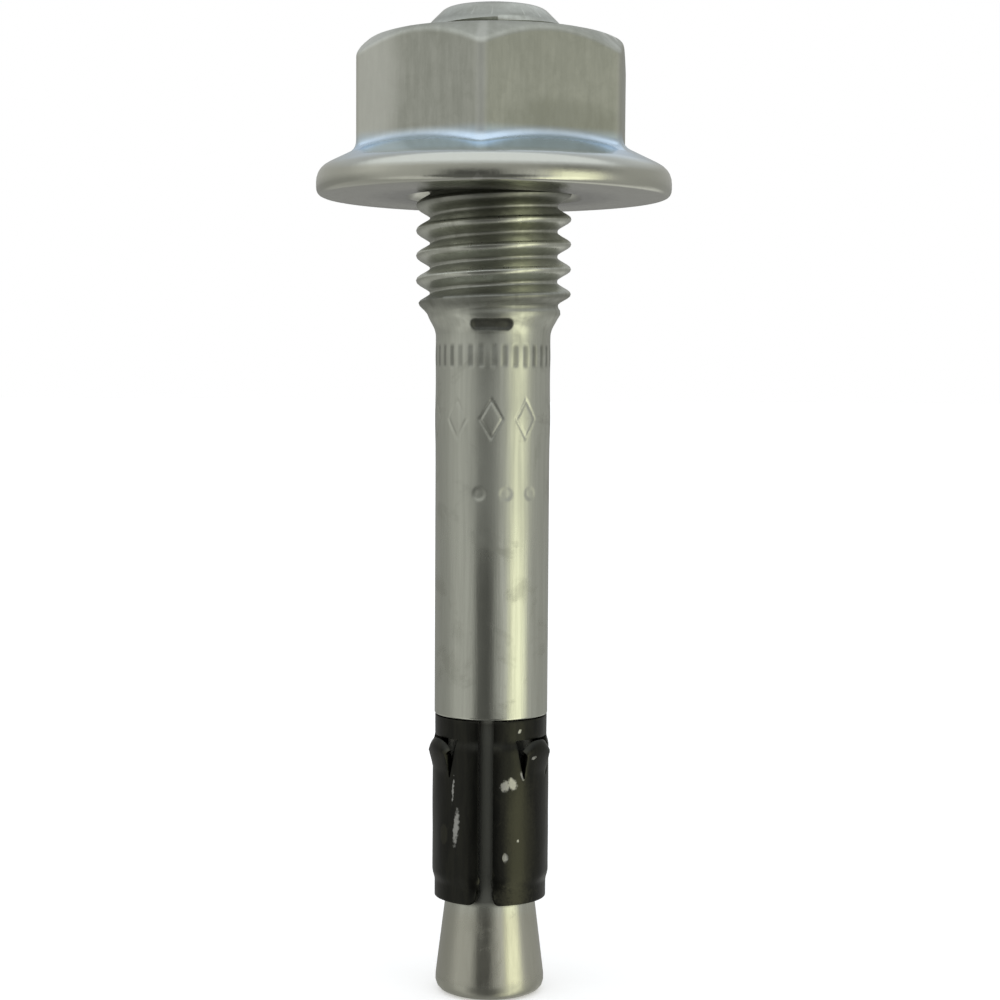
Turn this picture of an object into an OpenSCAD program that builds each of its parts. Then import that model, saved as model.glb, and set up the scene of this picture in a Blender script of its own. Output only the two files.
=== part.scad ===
// Nail anchor: a bolt with a cone at its tip, a split expansion clip on its neck and a flange nut on its thread.
// Millimetres. The anchor stands on its tip, +Z runs up to the threaded end and the clip's slit faces -Y.

/* [Bolt] */
// Length of the bolt, from the tip to the threaded end
bolt_len = 50; // [47:0.5:80]
// Diameter of the plain shank
shank_d = 5.8; // [5.6:0.1:6.4]
// Outside diameter of the thread
thread_d = 8; // [7:0.5:9]
// Pitch of the thread, which is the bolt's rise in one turn of the nut
thread_pitch = 1.25; // [1:0.25:1.5]
// Length of the thread, with the chamfer at its end
thread_len = 14.5; // [11:0.1:18]
// Length of the taper between the shank and the thread
runout_len = 1.4; // [0.8:0.1:2.5]
// Length of the chamfer at the threaded end, which is also its depth
end_chamfer = 1.5; // [0.8:0.1:2]
// Rounding of the edge of the threaded end
end_round = 0.6; // [0.2:0.1:1]

/* [Cone and neck] */
// Diameter of the cone at the tip, before its edge is rounded
cone_d = 5.8; // [5.6:0.1:6.4]
// Angle between the cone's side and the axis
cone_angle = 7; // [6:0.5:9]
// Rounding of the tip's edge
tip_round = 0.5; // [0.2:0.1:0.8]
// Diameter of the neck inside the clip
neck_d = 4.4; // [4:0.1:4.8]

/* [Expansion clip] */
// Height of the clip's lower end above the tip
clip_low = 5; // [4.4:0.1:6]
// Length of the clip
clip_len = 9.4; // [9:0.1:14]
// Thickness of the sheet metal
sheet_t = 0.4; // [0.3:0.05:0.6]
// Radial room between the clip and the cone after one turn of the nut
clip_clear = 0.03; // [0.02:0.01:0.1]
// Room between the clip's upper end and the shoulder above it
end_clear = 0.05; // [0.02:0.01:0.2]
// How far the clip's middle stands out from its two end bands
clip_swell = 0.12; // [0.05:0.01:0.25]
// Height of the lower end band
low_band = 0.8; // [0.6:0.1:2]
// Height of the upper end band
top_band = 1; // [0.6:0.1:1.2]
// Height of the slope between a band and the middle
band_slope = 0.6; // [0.2:0.1:0.8]
// Rounding of the outer edge at the lower end
clip_round = 0.25; // [0.1:0.05:0.28]
// Width of the slit at the upper end
slit_top_w = 0.75; // [0.4:0.05:1.5]
// Width of the slit at the lower end
slit_low_w = 0.75; // [0.4:0.05:1.5]
// Bevel of the slit's corners at the lower end
slit_bevel = 0.45; // [0.2:0.05:0.8]

/* [Barbs] */
// Angle of each barb from the slit
barb_turn = 58; // [58:1:90]
// Angle that a barb spans around the clip
barb_span = 34; // [20:1:44]
// Length of a barb, from its bend to its free end
barb_len = 1.8; // [1.5:0.1:3]
// How far the free end of a barb stands out
barb_rise = 0.26; // [0.2:0.02:0.6]
// Width of the window behind a barb, at its upper edge
window_top_w = 2.7; // [2.6:0.1:3.4]
// Room between a barb and the edges of its window
window_clear = 0.15; // [0.05:0.05:0.3]

/* [Flange nut] */
// Width across the flats
wrench_w = 13; // [12:0.5:15]
// Height of the nut, with its flange
nut_h = 7.8; // [7:0.1:9]
// How far the bolt stands out above the nut
bolt_out = 1.55; // [0.5:0.05:3]
// Diameter of the flange
flange_d = 17.9; // [16.5:0.1:20]
// Height of the flange's rim
rim_h = 1.3; // [1.1:0.1:2]
// Slope of the flange's upper face
flange_slope = 26; // [15:1:30]
// Rounding of the rim's upper edge
rim_top_round = 0.7; // [0.2:0.1:0.9]
// Rounding of the rim's lower edge
rim_low_round = 0.4; // [0.2:0.1:0.6]
// Diameter of the flat top inside the chamfer
crown_d = 12.4; // [11:0.1:12.8]
// Slope of the chamfer on the hexagon's upper corners
crown_slope = 42; // [20:1:50]
// Radial room between the thread and the nut
nut_clear = 0.1; // [0.05:0.01:0.2]
// Diameter of the countersinks at the two mouths of the hole
mouth_d = 9; // [8.6:0.1:10]

/* [Hidden] */
$fn = 96;

bolt_colour = "#a6a797";
clip_colour = "#2c2c27";
nut_colour = "#9c9d94";

// How far a cutter runs past the faces that it cuts
past = 1;
// A rounding's arc is this much larger than one that just touches its edges, so it crosses them cleanly
arc_reach = 1.001;

// Bolt: radii, and heights from the tip upwards
shank_r = shank_d / 2;
thread_r = thread_d / 2;
cone_r = cone_d / 2;
neck_r = neck_d / 2;
cone_len = (cone_r - neck_r) / tan(cone_angle);
shoulder_z = clip_low + clip_len + end_clear;
thread_z = bolt_len - thread_len;

// Thread: depth of its metric profile and width of its crests, as shares of the pitch
depth_share = 0.6134;
crest_share = 1 / 8;
// Half of the angle between two flanks
flank_angle = 30;
groove_depth = depth_share * thread_pitch;
groove_r = thread_r - groove_depth;
crest_half = crest_share * thread_pitch / 2;
flank_len = groove_depth * tan(flank_angle);
groove_count = floor((thread_len - end_chamfer) / thread_pitch);

// Clip: inner radius of its bands, which clears the cone after it has risen by one turn of the nut
band_r = max(neck_r, cone_r - (clip_low - thread_pitch) * tan(cone_angle)) + clip_clear;
middle_r = band_r + clip_swell;
clip_top = clip_low + clip_len;
barb_top = clip_top - top_band - window_clear;
barb_low = barb_top - barb_len;

// Nut: heights and radii
nut_z = bolt_len - bolt_out - nut_h;
nut_hole_r = thread_r + nut_clear;
mouth_depth = mouth_d / 2 - nut_hole_r;
flange_r = flange_d / 2;
hex_r = wrench_w / 2 / cos(30);
// The flange's upper face runs on to this radius, inside the hexagon
flange_in_r = wrench_w / 2 - past;

// Sliver between a corner at p and an arc that meets its two edges, which run towards a and b
module corner_sliver(p, a, b, radius) {
    to_a = (a - p) / norm(a - p);
    to_b = (b - p) / norm(b - p);
    half_angle = acos(to_a * to_b) / 2;
    inward = (to_a + to_b) / norm(to_a + to_b);
    touch = radius / tan(half_angle);
    difference() {
        polygon([p + touch * to_a, p - radius / 5 * inward, p + touch * to_b]);
        translate(p + radius / sin(half_angle) * inward)
            circle(radius * arc_reach);
    }
}

// Outline with some of its corners rounded, each given as [index, radius]
module outline(points, rounds) {
    difference() {
        polygon(points);
        for (r = rounds)
            corner_sliver(points[r[0]], points[r[0] - 1], points[r[0] + 1], r[1]);
    }
}

// Groove between two crests of the thread in half section, from the lower crest's middle at z
function groove(z) = [
    [thread_r, z + crest_half],
    [groove_r, z + crest_half + flank_len],
    [groove_r, z + thread_pitch - crest_half - flank_len],
    [thread_r, z + thread_pitch - crest_half]
];

// Bolt, turned from the tip's cone up to the thread, whose grooves are rings
module anchor_bolt() {
    foot = [
        [0, 0],
        [cone_r, 0],
        [neck_r, cone_len],
        [neck_r, shoulder_z],
        [shank_r, shoulder_z],
        [shank_r, thread_z - runout_len],
        [thread_r, thread_z]
    ];
    thread = [for (i = [0 : groove_count - 1]) each groove(thread_z + i * thread_pitch)];
    end = [
        [thread_r, bolt_len - end_chamfer],
        [thread_r - end_chamfer, bolt_len],
        [0, bolt_len]
    ];
    half_section = concat(foot, thread, end);
    color(bolt_colour)
        rotate_extrude()
            outline(half_section, [[1, tip_round], [len(half_section) - 2, end_round]]);
}

// Sheet of the clip in half section: two end bands with a swollen middle between them
module clip_half_section() {
    swell_low = clip_low + low_band;
    swell_top = clip_top - top_band;
    inner = [
        [band_r, clip_low],
        [band_r, swell_low],
        [middle_r, swell_low + band_slope],
        [middle_r, swell_top - band_slope],
        [band_r, swell_top],
        [band_r, clip_top]
    ];
    last = len(inner) - 1;
    outer = [for (i = [last : -1 : 0]) inner[i] + [sheet_t, 0]];
    points = concat(inner, outer, [inner[0]]);
    outline(points, [[2 * last + 1, clip_round]]);
}

// Slit along the clip, with bevelled corners at its lower end
module slit_cutter() {
    half_low = slit_low_w / 2;
    half_top = slit_top_w / 2;
    flare = slit_bevel + past;
    rotate([90, 0, 0])
        linear_extrude(band_r + clip_swell + sheet_t + past)
            polygon([
                [-half_low - flare, clip_low - past],
                [half_low + flare, clip_low - past],
                [half_low, clip_low + slit_bevel],
                [half_top, clip_top + past],
                [-half_top, clip_top + past],
                [-half_low, clip_low + slit_bevel]
            ]);
}

// Window that a barb is bent out of, wider at the barb's free end
module window_cutter() {
    half_low = (middle_r + sheet_t) * sin(barb_span / 2) + window_clear / 2;
    half_top = window_top_w / 2;
    rotate([90, 0, 0])
        linear_extrude(middle_r + sheet_t + past)
            polygon([
                [-half_low, barb_low],
                [half_low, barb_low],
                [half_top, barb_top + window_clear],
                [-half_top, barb_top + window_clear]
            ]);
}

// Barb: a tongue of the sheet, bent outwards about its lower end
module barb() {
    root_z = barb_low - sheet_t / 2;
    rotate([0, 0, -90 - barb_span / 2])
        rotate_extrude(angle = barb_span)
            polygon([
                [middle_r, root_z],
                [middle_r + sheet_t, root_z],
                [middle_r + sheet_t, barb_low],
                [middle_r + sheet_t + barb_rise, barb_top],
                [middle_r + barb_rise, barb_top],
                [middle_r, barb_low]
            ]);
}

// Expansion clip, rolled from sheet metal
module expansion_clip() {
    color(clip_colour) {
        difference() {
            rotate_extrude()
                clip_half_section();
            slit_cutter();
            for (side = [-1, 1])
                rotate([0, 0, side * barb_turn])
                    window_cutter();
        }
        for (side = [-1, 1])
            rotate([0, 0, side * barb_turn])
                barb();
    }
}

// Hexagon with a corner towards -Y and its upper corners chamfered
module hexagon() {
    beyond_r = hex_r + past;
    intersection() {
        rotate([0, 0, 30])
            cylinder(h = nut_h, r = hex_r, $fn = 6);
        rotate_extrude()
            polygon([
                [0, 0],
                [beyond_r, 0],
                [beyond_r, nut_h - (beyond_r - crown_d / 2) * tan(crown_slope)],
                [crown_d / 2, nut_h],
                [0, nut_h]
            ]);
    }
}

// Round flange with a sloping upper face and a rounded rim
module flange() {
    inner_z = rim_h + (flange_r - flange_in_r) * tan(flange_slope);
    half_section = [
        [0, 0],
        [flange_r, 0],
        [flange_r, rim_h],
        [flange_in_r, inner_z],
        [0, inner_z]
    ];
    rotate_extrude()
        outline(half_section, [[1, rim_low_round], [2, rim_top_round]]);
}

// Hole of the nut with a countersink at each mouth
module nut_hole() {
    rotate_extrude()
        polygon([
            [0, -past],
            [mouth_d / 2 + past, -past],
            [nut_hole_r, mouth_depth],
            [nut_hole_r, nut_h - mouth_depth],
            [mouth_d / 2 + past, nut_h + past],
            [0, nut_h + past]
        ]);
}

// Flange nut, seated against the fixture by the flat underside of its flange
module flange_nut() {
    color(nut_colour)
        translate([0, 0, nut_z])
            difference() {
                union() {
                    hexagon();
                    flange();
                }
                nut_hole();
            }
}

anchor_bolt();
expansion_clip();
flange_nut();
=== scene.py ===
"""Dressed model of a nail anchor: plated bolt, dark expansion clip and flange nut."""
import math

import bmesh
import bpy
import numpy as np
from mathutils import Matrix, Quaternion, Vector, noise


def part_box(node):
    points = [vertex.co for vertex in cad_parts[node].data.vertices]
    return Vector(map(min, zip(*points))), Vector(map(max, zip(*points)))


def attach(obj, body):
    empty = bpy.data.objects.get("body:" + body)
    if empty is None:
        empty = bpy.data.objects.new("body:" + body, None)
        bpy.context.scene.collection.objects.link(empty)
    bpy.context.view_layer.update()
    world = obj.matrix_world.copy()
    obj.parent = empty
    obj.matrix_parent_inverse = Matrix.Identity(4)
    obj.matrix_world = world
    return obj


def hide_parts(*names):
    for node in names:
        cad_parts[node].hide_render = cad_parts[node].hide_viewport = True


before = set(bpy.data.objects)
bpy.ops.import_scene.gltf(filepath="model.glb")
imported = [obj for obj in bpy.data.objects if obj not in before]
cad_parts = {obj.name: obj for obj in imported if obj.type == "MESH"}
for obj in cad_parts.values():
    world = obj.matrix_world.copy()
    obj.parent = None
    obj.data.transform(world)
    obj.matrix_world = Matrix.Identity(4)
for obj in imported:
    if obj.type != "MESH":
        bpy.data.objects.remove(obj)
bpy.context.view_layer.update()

bl_info = {
    "name": "Nail anchor",
    "version": (1, 0, 0),
    "blender": (4, 5, 0),
    "location": "View3D > Sidebar > Nail anchor",
    "description": "Builds the bolt, the expansion clip and the flange nut of a nail anchor",
    "category": "Mesh",
}

MM = 0.001
TURN = 2 * math.pi
# Vertices closer than this are one vertex
WELD = 2e-7

# The side that the clip's slit and a corner of the hexagon face
FRONT = -TURN / 4

# Heights and radii that the solids give
BOLT_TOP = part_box("anchor_bolt")[1].z
CLIP_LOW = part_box("expansion_clip")[0].z
CLIP_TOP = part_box("expansion_clip")[1].z
NUT_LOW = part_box("flange_nut")[0].z
NUT_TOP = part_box("flange_nut")[1].z
FLANGE_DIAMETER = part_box("flange_nut")[1].x * 2


# Properties

def length(name, description, metres):
    """Length that a user may change."""
    return bpy.props.FloatProperty(
        name=name, description=description, default=metres, min=0.0, unit="LENGTH", precision=5
    )


def angle(name, description, degrees):
    """Angle that a user may change."""
    return bpy.props.FloatProperty(
        name=name, description=description, default=math.radians(degrees), subtype="ANGLE"
    )


def colour(name, description, red, green, blue):
    """Colour that a user may change."""
    return bpy.props.FloatVectorProperty(
        name=name, description=description, default=(red, green, blue), subtype="COLOR", min=0.0
    )


def share(name, description, value):
    """Plain number that a user may change."""
    return bpy.props.FloatProperty(name=name, description=description, default=value, min=0.0)


class BoltSizes(bpy.types.PropertyGroup):
    """Sizes of the bolt."""

    top: length("Top", "Height of the threaded end above the tip", BOLT_TOP)
    shank: length("Shank", "Diameter of the plain shank", 5.8 * MM)
    crest: length("Thread crest", "Diameter over the crests of the thread", 7.84 * MM)
    root: length("Thread root", "Diameter in the roots of the thread", 6.46 * MM)
    blank: length("Blank", "Diameter that the thread was rolled on", 6.76 * MM)
    pitch: length("Pitch", "Rise of the thread in one turn", 1.25 * MM)
    end_face: length("End face", "Diameter of the flat threaded end", 5.0 * MM)
    end_round: length("End rounding", "Reach of the rounding at the threaded end", 0.3 * MM)
    runout_low: length("Run-out foot", "Height where the shank starts to widen", 33.95 * MM)
    runout_top: length("Run-out head", "Height where the blank has its full width", 34.8 * MM)
    thread_low: length("Thread start", "Height of the first trace of the thread", 34.56 * MM)
    thread_full: length("Full thread", "Height from which the thread is full", 35.65 * MM)
    cone: length("Cone", "Diameter of the cone at the tip", 5.8 * MM)
    cone_slope: angle("Cone slope", "Angle of the cone's side to the axis", 7)
    tip_round: length("Tip rounding", "Reach of the rounding at the tip", 0.85 * MM)
    neck: length("Neck", "Diameter of the neck inside the clip", 4.4 * MM)
    shoulder: length("Shoulder", "Height of the shoulder above the clip", CLIP_TOP + 0.05 * MM)
    tick_count: bpy.props.IntProperty(
        name="Ticks", description="Number of grooves in the ring of ticks", default=32, min=8
    )
    tick_low: length("Ticks low", "Lower end of the ticks", 32.06 * MM)
    tick_top: length("Ticks top", "Upper end of the ticks", 33.32 * MM)
    tick_depth: length("Tick depth", "Depth of the ticks", 0.03 * MM)
    dash_height: length("Dash", "Height of the stamped dash", 34.22 * MM)
    dash_length: length("Dash length", "Length of the stamped dash", 1.95 * MM)
    dash_width: length("Dash width", "Width of the stamped dash", 0.52 * MM)
    dash_depth: length("Dash depth", "Depth of the stamped dash", 0.12 * MM)
    stamp_depth: length("Stamp depth", "Depth of the stamped lozenges and dots", 0.025 * MM)


class ClipSizes(bpy.types.PropertyGroup):
    """Sizes of the expansion clip."""

    low: length("Lower end", "Height of the clip's lower end", CLIP_LOW)
    top: length("Upper end", "Height of the clip's upper end", CLIP_TOP)
    sheet: length("Sheet", "Thickness of the sheet", 0.4 * MM)
    band: length("Bands", "Radius of the end bands, at the middle of the sheet", 2.67 * MM)
    middle: length("Middle", "Radius of the swollen part, at the middle of the sheet", 2.79 * MM)
    slit_top: length("Slit at top", "Width of the slit at the upper end", 0.76 * MM)
    slit_low: length("Slit at foot", "Width of the slit at the lower end", 0.75 * MM)
    curl: length("Curl", "How far the sheet curls inwards at the slit", 0.04 * MM)
    curl_reach: length("Curl reach", "Width of the curled strip at the slit", 0.6 * MM)
    barb_turn: angle("Barb turn", "Angle from the slit to the middle of a barb", 57)
    barb_span: angle("Barb span", "Angle that a barb covers", 34)
    barb_low: length("Barb foot", "Height where a barb is bent", CLIP_TOP - 2.95 * MM)
    barb_top: length("Barb end", "Height of a barb's free end", CLIP_TOP - 1.15 * MM)
    barb_rise: length("Barb rise", "How far a barb stands out", 0.26 * MM)
    window_top: length("Window top", "Height of the window's upper edge", CLIP_TOP - 1.0 * MM)
    window_low_half: angle("Window foot", "Half the angle of the window at its foot", 18.5)
    window_top_half: angle("Window head", "Half the angle of the window at its head", 26.8)


class NutSizes(bpy.types.PropertyGroup):
    """Sizes of the flange nut."""

    low: length("Underside", "Height of the flange's underside", NUT_LOW)
    top: length("Top", "Height of the nut's top", NUT_TOP)
    flats: length("Across flats", "Width of the hexagon across its flats", 13.0 * MM)
    corner: length("Corner rounding", "Radius of the hexagon's corners", 0.6 * MM)
    flange: length("Flange", "Diameter of the flange", FLANGE_DIAMETER)
    rim: length("Rim", "Height of the flange's rim", 1.3 * MM)
    rim_top: length("Rim top", "Reach of the rounding on the rim's upper edge", 0.63 * MM)
    rim_low: length("Rim foot", "Reach of the rounding on the rim's lower edge", 0.42 * MM)
    slope: angle("Flange slope", "Slope of the flange's upper face", 26)
    fillet: length("Fillet", "Reach of the fillet between hexagon and flange", 0.45 * MM)
    crown: length("Crown", "Diameter of the flat top", 12.4 * MM)
    crown_round: length("Crown rounding", "Reach of the rounding around the flat top", 0.4 * MM)
    chamfer: angle("Chamfer", "Slope of the chamfer on the upper corners", 42)
    mouth: length("Mouth", "Diameter of the countersinks", 9.0 * MM)
    thread_root: length("Thread root", "Diameter in the roots of the inner thread", 8.06 * MM)
    thread_crest: length("Thread crest", "Diameter between the inner crests", 6.76 * MM)
    play: length("Play", "Room between the flanks of the two threads", 0.035 * MM)


class Finishes(bpy.types.PropertyGroup):
    """Colours of the metals."""

    zinc: colour("Bolt plating", "Zinc on the bolt", 0.60, 0.615, 0.545)
    zinc_dull: colour("Bolt stains", "Dull zinc on the bolt", 0.36, 0.365, 0.31)
    zinc_worn: colour("Worn tip", "Worn zinc on the cone at the tip", 0.54, 0.53, 0.45)
    # Painted shade: dark colour put into grooves, on the neck inside the clip, on the thread under
    # the nut and around the nut's hole
    grime: colour("Grime", "Grime in grooves", 0.045, 0.045, 0.038)
    nut: colour("Nut plating", "Zinc on the nut", 0.54, 0.545, 0.48)
    nut_dull: colour("Nut mottling", "Dull zinc on the nut", 0.32, 0.325, 0.27)
    # Bright zinc on edges and on the lighter left flat, also used for highlights painted on the
    # hexagon's corners and edges
    nut_bright_and_highlight: colour("Nut edges", "Bright zinc on edges and clean places", 0.72, 0.72, 0.65)
    # Bluish zinc on the flange's upper face, partly a painted reflection of bluish light from above
    nut_blue_and_reflection: colour("Blue plating", "Bluish zinc on the flange", 0.60, 0.74, 0.87)
    clip: colour("Black finish", "Blackened steel of the clip", 0.026, 0.0265, 0.0235)
    # Worn black, also used for a painted olive reflection up the right leaf
    clip_worn_and_reflection: colour("Worn black", "Thin black finish on edges", 0.11, 0.107, 0.075)
    # Bare steel, also used for a painted highlight on a barb's corner
    bare: colour("Bare steel", "Steel where the black is scratched off", 0.42, 0.42, 0.40)


class Studio(bpy.types.PropertyGroup):
    """Camera and light."""

    azimuth: angle("Azimuth", "Camera's turn from the front, to the right", 4.7)
    elevation: angle("Elevation", "Camera's angle above the horizon", 4.62)
    roll: angle("Roll", "Camera's roll", 0.36)
    distance: length("Distance", "From the camera to the point that it looks at", 107.15 * MM)
    aim: length("Aim", "Height of the point that the camera looks at", 22.325 * MM)
    aside: length("Aside", "How far the camera stands to the right of the axis", 0.42 * MM)
    lens: share("Lens", "Focal length in millimetres on a 36 mm sensor", 75.35)
    shift: share("Shift", "Upward shift of the frame", 0.06)
    floor: colour("Floor", "Pale floor", 0.93, 0.92, 0.90)
    floor_glow: share("Floor glow", "Light that the floor gives back by itself", 0.4)
    strength: share("Light", "Strength of the studio light", 1.0)


# Geometry

# A rounding takes up to this share of the edge beside it
CORNER_SHARE = 0.49
# Angle of a thread's flanks, and the turns made past its ends, which are held at the ends
FLANK = math.radians(30)
SPARE_TURNS = 3


def ease(start, end, value):
    """Smooth step from 0 at start to 1 at end."""
    t = np.clip((value - start) / (end - start), 0.0, 1.0)
    return t * t * (3 - 2 * t)


def turned(points, reaches, steps=4):
    """Path of (radius, height) points whose corners turn over the given reach.

    A leading axis of points may hold one path for each column."""
    points = np.asarray(points, float)
    path = [points[..., 0, :]]
    for i in range(1, points.shape[-2] - 1):
        corner = points[..., i, :]
        if reaches[i] == 0:
            path.append(corner)
            continue
        ends = []
        for other in (points[..., i - 1, :], points[..., i + 1, :]):
            edge = other - corner
            size = np.linalg.norm(edge, axis=-1, keepdims=True)
            ends.append(corner + edge / size * np.minimum(reaches[i], CORNER_SHARE * size))
        for t in np.linspace(0, 1, steps + 1):
            path.append((1 - t) ** 2 * ends[0] + 2 * t * (1 - t) * corner + t**2 * ends[1])
    path.append(points[..., -1, :])
    return np.stack(path, axis=-2)


def polar(theta, radius, height):
    """Points at angle theta, of any shapes that go together."""
    theta, radius, height = np.broadcast_arrays(theta, radius, height)
    return np.stack((radius * np.cos(theta), radius * np.sin(theta), height), axis=-1)


def turn_gap(theta, centre):
    """Angle from centre to theta, between half a turn back and half a turn on."""
    return (theta - centre + math.pi) % TURN - math.pi


def wrapped_quads(rows, columns, climb=0):
    """Faces of a grid whose last column meets its first one, climb rows further up."""
    quads = []
    for k in range(columns):
        lift = climb if k == columns - 1 else 0
        row = np.arange(rows - 1 - lift)
        here, there = row * columns + k, (row + lift) * columns + (k + 1) % columns
        quads.append(np.stack((here, there, there + columns, here + columns), axis=1))
    return np.concatenate(quads)


def thread_profile(pitch, crest, root, crest_flat, reach):
    """One pitch of a 60 degree thread as (height from the crest, radius)."""
    run = abs(crest - root) * math.tan(FLANK)
    half = crest_flat / 2
    path = [
        (-pitch / 2, root),
        (-half - run, root),
        (-half, crest),
        (half, crest),
        (half + run, root),
        (pitch / 2, root),
    ]
    return turned(path, [0, reach, reach, reach, reach, 0], steps=2)[1:-1]


def thread_rows(profile, pitch, theta, crest_angle, crest_height, low, top):
    """Heights and radii of the rows of a right-hand thread, held between low and top."""
    first = math.floor((low - crest_height) / pitch) - SPARE_TURNS
    last = math.ceil((top - crest_height) / pitch) + SPARE_TURNS
    turns = np.arange(first, last + 1)
    rise = (crest_height + turns[:, None] * pitch + profile[None, :, 0]).reshape(-1, 1)
    height = rise + pitch * (theta - crest_angle)[None, :] / TURN
    radius = np.tile(profile[:, 1], len(turns))[:, None]
    return np.clip(height, low, top), np.broadcast_to(radius, height.shape)


class Shell:
    """Gathers the patches of one piece and welds them into a mesh."""

    def __init__(self):
        self.points, self.faces, self.grime = [], [], []

    def patch(self, grid, faces, grime=0.0):
        """Adds a grid of points with its own faces, and with the shade painted on it."""
        first = len(self.points)
        self.points.extend(grid.reshape(-1, 3).tolist())
        self.faces.extend((np.asarray(faces) + first).tolist())
        self.grime.extend(np.broadcast_to(grime, grid.shape[:-1]).ravel().tolist())

    def cap(self, ring, centre):
        """Closes a ring of points with a fan."""
        columns = len(ring)
        points = np.concatenate((ring, [centre]))
        fan = [(k, (k + 1) % columns, columns) for k in range(columns)]
        self.patch(points, fan)

    def piece(self, name, sharp):
        """Makes the object, with edges sharper than the angle kept sharp."""
        mesh = bpy.data.meshes.new(name)
        mesh.from_pydata(self.points, [], self.faces)
        mesh.attributes.new("grime", "FLOAT", "POINT").data.foreach_set("value", self.grime)
        shape = bmesh.new()
        shape.from_mesh(mesh)
        bmesh.ops.remove_doubles(shape, verts=shape.verts, dist=WELD)
        loose = [v for v in shape.verts if not v.link_faces]
        bmesh.ops.delete(shape, geom=loose, context="VERTS")
        bmesh.ops.recalc_face_normals(shape, faces=shape.faces)
        shape.to_mesh(mesh)
        shape.free()
        item = bpy.data.objects.new(name, mesh)
        bpy.context.scene.collection.objects.link(item)
        shade(item, sharp)
        return item


def shade(item, sharp):
    """Smooth shading between edges that are less sharp than the angle."""
    item.data.shade_smooth()
    item.data.set_sharp_from_angle(angle=math.radians(sharp))


def settle(item, sharp):
    """Puts the result of an object's modifiers in its mesh."""
    ready = item.evaluated_get(bpy.context.evaluated_depsgraph_get())
    mesh = bpy.data.meshes.new_from_object(ready)
    item.modifiers.clear()
    item.data = mesh
    shade(item, sharp)


def closed_or_error(item):
    """Stops the script if a mesh has an open or doubled edge."""
    shape = bmesh.new()
    shape.from_mesh(item.data)
    wrong = sum(not edge.is_manifold for edge in shape.edges)
    shape.free()
    if wrong:
        raise RuntimeError(f"{item.name} has {wrong} open edges")


# Bolt

BOLT_COLUMNS = 320
# An edge of more degrees than this is shaded sharp
SHARP_BOLT = 50
# A crest of the thread passes this angle at this height
CREST_ANGLE = math.radians(184.7)
CREST_HEIGHT = 38.98 * MM
CREST_FLAT = 0.25 * MM
THREAD_REACH = 0.2 * MM
# Reaches of small roundings, and the radius inside which a fan closes an end
BLANK_ROUND = 0.35 * MM
NECK_ROUND = 0.3 * MM
SHOULDER_ROUND = 0.12 * MM
FAN_RADIUS = 0.4 * MM
# Rows on both sides of the clip's lower edge and of the shoulder
CONE_ROWS = (CLIP_LOW - 0.25 * MM, CLIP_LOW + 0.05 * MM)
BELOW_SHOULDER = 0.3 * MM
ABOVE_SHOULDER = 0.5 * MM
# The ticks differ in depth and place; these are shares of the depth and of their spacing
TICK_SEED = 8
TICK_DEPTHS = (0.55, 1.0)
TICK_ASIDE = 0.05
TICK_MIDDLE = 0.45
TICK_SIDE = (0.34, 0.1)
TICK_SOFT = 0.2 * MM
# Distances from the dash's outline between which its side falls and its painted shade comes in
DASH_SIDE = (0.04 * MM, -0.16 * MM)
DASH_SHADE = (0.1 * MM, 0.01 * MM)
# Angle of the dash, and angles of the stamped marks from it, their heights and half sizes
DASH_ANGLE = FRONT + math.radians(3.6)
LOZENGE_TURNS = (-72, -36, 0, 36, 72)
LOZENGE_HEIGHT = 29.55 * MM
LOZENGE_HALF = (0.55 * MM, 0.95 * MM)
DOT_TURNS = (-12, 15, 42)
DOT_HEIGHT = 25.85 * MM
DOT_RADIUS = 0.42 * MM
DOT_FLOOR = 0.45 * DOT_RADIUS
GROOVE_HALF = 0.09 * MM
# The shank bulges a little along the lozenges and, less, along the ticks
BULGE = 0.03 * MM
LOZENGE_BULGE = 1.1 * MM
TICK_BULGE = 0.6 * MM
TICK_BULGE_SHARE = 0.7
# How dark the painted shade is at each place
TICK_PAINTED_SHADE = 0.6
DASH_PAINTED_SHADE = 0.85
NECK_PAINTED_SHADE = 0.75
THREAD_PAINTED_SHADE = 0.3
RUNOUT_PAINTED_SHADE = 0.5
UNDER_NUT_PAINTED_SHADE = 0.55
# Distances over which the painted shade comes in and fades: at the clip, in the thread, at the
# run-out, below the nut's underside and above it
CLIP_EDGE_FADE = 0.2 * MM
FLANK_FADE = 0.3 * MM
RUNOUT_LOW_FADE = 0.3 * MM
RUNOUT_TOP_FADE = 0.35 * MM
BELOW_NUT = (0.9 * MM, 0.1 * MM)
INSIDE_NUT = (2 * MM, 1 * MM)


def bolt_blank(s, height):
    """Radius of the shank and of the run-out below the thread."""
    path = turned(
        [
            (s.shank / 2, s.shoulder),
            (s.shank / 2, s.runout_low),
            (s.blank / 2, s.runout_top),
            (s.blank / 2, s.top),
        ],
        [0, BLANK_ROUND, BLANK_ROUND, 0],
        steps=8,
    )
    return np.interp(height, path[:, 1], path[:, 0])


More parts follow.
